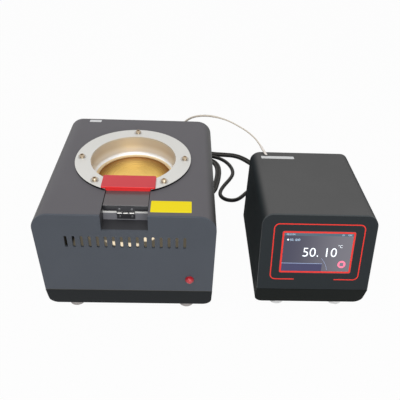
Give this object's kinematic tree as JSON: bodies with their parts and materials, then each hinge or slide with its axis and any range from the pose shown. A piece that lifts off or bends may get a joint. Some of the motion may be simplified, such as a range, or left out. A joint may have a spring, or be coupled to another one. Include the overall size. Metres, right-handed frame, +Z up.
{
  "type": "heated well unit with controller",
  "caption": "Open-topped heater with a hot plate in a ringed round well, closed at the front by a hinged gate with a T-handle, and a separate touch-screen controller joined by leads.",
  "frame": {"origin": "on the bench, under the middle of the two housings from the outer side of one to the outer side of the other, and midway from the front of the lamp to the back sockets", "axes": "+X to the right from the heater towards the controller, +Y from the front to the back, +Z up"},
  "size_m": [0.511, 0.504, 0.2074],
  "materials": {
    "heater_paint": "fine satin powder coat, mid grey",
    "heater_front_paint": "fine satin powder coat, blue grey",
    "band_paint": "satin powder coat, near black",
    "controller_paint": "fine satin powder coat, dark grey",
    "controller_front_paint": "satin printed panel, near black",
    "gate_paint": "glossy enamel, grey",
    "hinge_black": "semi-gloss black oxide",
    "ring_metal": "fine turned face",
    "bright_sheet": "mill finish",
    "liner_metal": "polished spun sheet",
    "plate_metal": "faced in a lathe, fine rings",
    "steel": "bright zinc",
    "nickel": "plated",
    "dark_steel": "black zinc",
    "brass_parts": "turned",
    "handle_red": "moulded, semi-gloss",
    "lamp_red": "clear tinted jewel",
    "lamp_rim": "moulded",
    "feet_rubber": "matte",
    "screen_glass": "smooth, with a lit screen behind it",
    "black_plastic": "fine grain",
    "rocker_plastic": "gloss",
    "board_green": "solder mask",
    "relay_plastic": "plain",
    "fibre": "pressed fibre",
    "mica": "layered sheet",
    "lead_black": "smooth sheath with a sheen",
    "sensor_braid": "woven braid",
    "sleeve_pale": "plain"
  },
  "bodies": {
    "base": {"heater_cover": "heater_paint", "heater_front_plate": "heater_front_paint", "heater_back_plate": "heater_paint", "heater_base_tray": "band_paint", "heater_feet": "feet_rubber", "ring_flange": "ring_metal", "ring_washers": "steel", "ring_screws": "steel", "ring_nuts": "steel", "well_liner": "liner_metal", "hot_plate": "plate_metal", "heating_element": "mica", "clamp_plate": "steel", "clamp_stud": "steel", "insulation": "fibre", "heat_shroud": "bright_sheet", "carrier_plate": "steel", "carrier_standoffs": "steel", "sensor_probe": "steel", "thermostat": "black_plastic", "notch_tray": "heater_paint", "gate_seat": "bright_sheet", "hinge_leaf_fixed": "hinge_black", "hinge_pin": "steel", "hinge_screws_fixed": "steel", "lamp_bezel": "lamp_rim", "lamp_lens": "lamp_red", "heater_sockets": "nickel", "sensor_gland": "black_plastic", "foot_screws": "steel", "panel_screws": "dark_steel", "controller_cover": "controller_paint", "controller_front_plate": "controller_front_paint", "controller_back_plate": "controller_paint", "controller_base_tray": "band_paint", "controller_feet": "feet_rubber", "touch_glass": "screen_glass", "display_module": "steel", "main_board": "board_green", "board_standoffs": "brass_parts", "power_supply": "bright_sheet", "heat_sink": "bright_sheet", "solid_state_relay": "relay_plastic", "mains_inlet": "black_plastic", "inlet_pins": "nickel", "switch_frame": "black_plastic", "controller_sockets": "nickel", "sensor_jack": "nickel", "sensor_sleeve": "sleeve_pale", "sensor_lead": "sensor_braid", "heater_lead": "lead_black", "heater_lead_plugs": "black_plastic", "link_lead": "lead_black", "link_lead_plugs": "black_plastic"},
    "gate": {"gate_flap": "gate_paint", "gate_handle": "handle_red", "handle_screws": "steel", "hinge_leaf_gate": "hinge_black", "hinge_screws_gate": "steel"},
    "rocker": {"switch_rocker": "rocker_plastic"}
  },
  "joints": [
    {"name": "gate_hinge", "type": "hinge", "parent": "base", "child": "gate", "pos_m": [-0.1255, -0.1187, 0.1864], "axis": [1, 0, 0], "range_deg": [0, 180]},
    {"name": "rocker_pivot", "type": "hinge", "parent": "base", "child": "rocker", "pos_m": [0.1145, 0.0811, 0.108], "axis": [1, 0, 0], "range_deg": [0, 20]}
  ]
}
